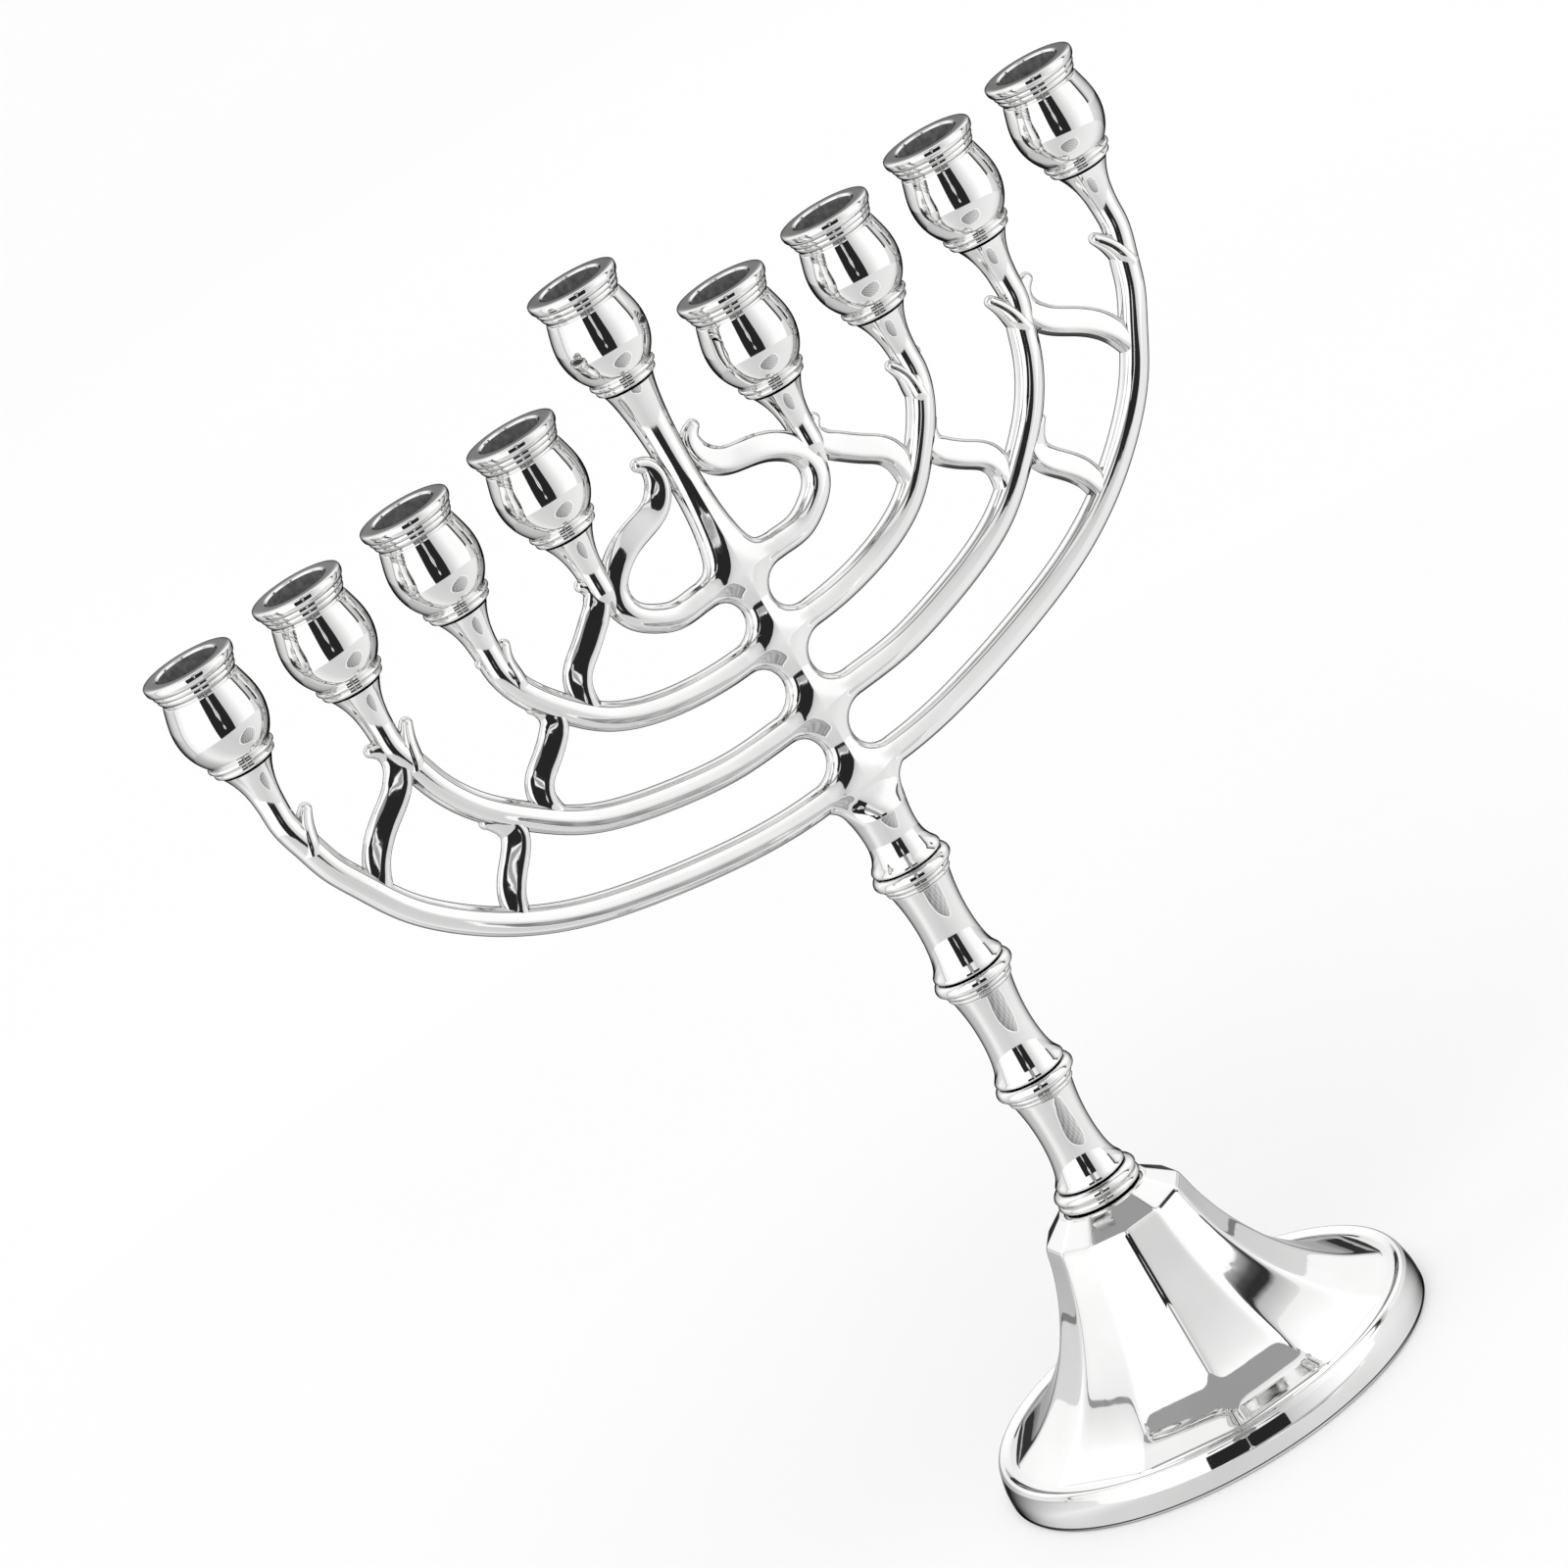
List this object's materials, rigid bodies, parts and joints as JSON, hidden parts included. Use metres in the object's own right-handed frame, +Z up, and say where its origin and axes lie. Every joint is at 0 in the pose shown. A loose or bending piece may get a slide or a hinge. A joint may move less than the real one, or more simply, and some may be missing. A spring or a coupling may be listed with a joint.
{
  "type": "menorah",
  "caption": "Free-standing branched candle holder in silver plate: faceted bell foot, turned stem, curved arms with scrolled tendrils and candle cups in a row.",
  "frame": {"origin": "on the floor under the middle of the foot", "axes": "+Z up along the stem; the row of candle cups runs along X; +Y is the back of the branch plane"},
  "size_m": [0.2174, 0.089, 0.25],
  "materials": {
    "silver_plate": "mirror-polished silver plate on turned pieces",
    "cast_silver_plate": "bright silver plate on the cast branch frame",
    "zinc_steel": "plain zinc-coated fasteners under the foot"
  },
  "bodies": {
    "root": {"base_foot": "silver_plate", "base_collar": "silver_plate", "stem_segment_1": "silver_plate", "stem_segment_2": "silver_plate", "stem_segment_3": "silver_plate", "tie_rod": "zinc_steel", "base_washer": "zinc_steel", "base_nut": "zinc_steel", "branch_shaft": "cast_silver_plate", "arm_1_left": "cast_silver_plate", "arm_2_left": "cast_silver_plate", "arm_3_left": "cast_silver_plate", "arm_4_left": "cast_silver_plate", "arm_1_right": "cast_silver_plate", "arm_2_right": "cast_silver_plate", "arm_3_right": "cast_silver_plate", "arm_4_right": "cast_silver_plate", "tendril_a_left": "cast_silver_plate", "tendril_b_left": "cast_silver_plate", "tendril_c_left": "cast_silver_plate", "tendril_d_left": "cast_silver_plate", "tendril_a_right": "cast_silver_plate", "tendril_b_right": "cast_silver_plate", "tendril_c_right": "cast_silver_plate", "tendril_d_right": "cast_silver_plate", "candle_cup_middle": "silver_plate", "candle_cup_1_left": "silver_plate", "candle_cup_2_left": "silver_plate", "candle_cup_3_left": "silver_plate", "candle_cup_4_left": "silver_plate", "candle_cup_1_right": "silver_plate", "candle_cup_2_right": "silver_plate", "candle_cup_3_right": "silver_plate", "candle_cup_4_right": "silver_plate"}
  },
  "joints": []
}
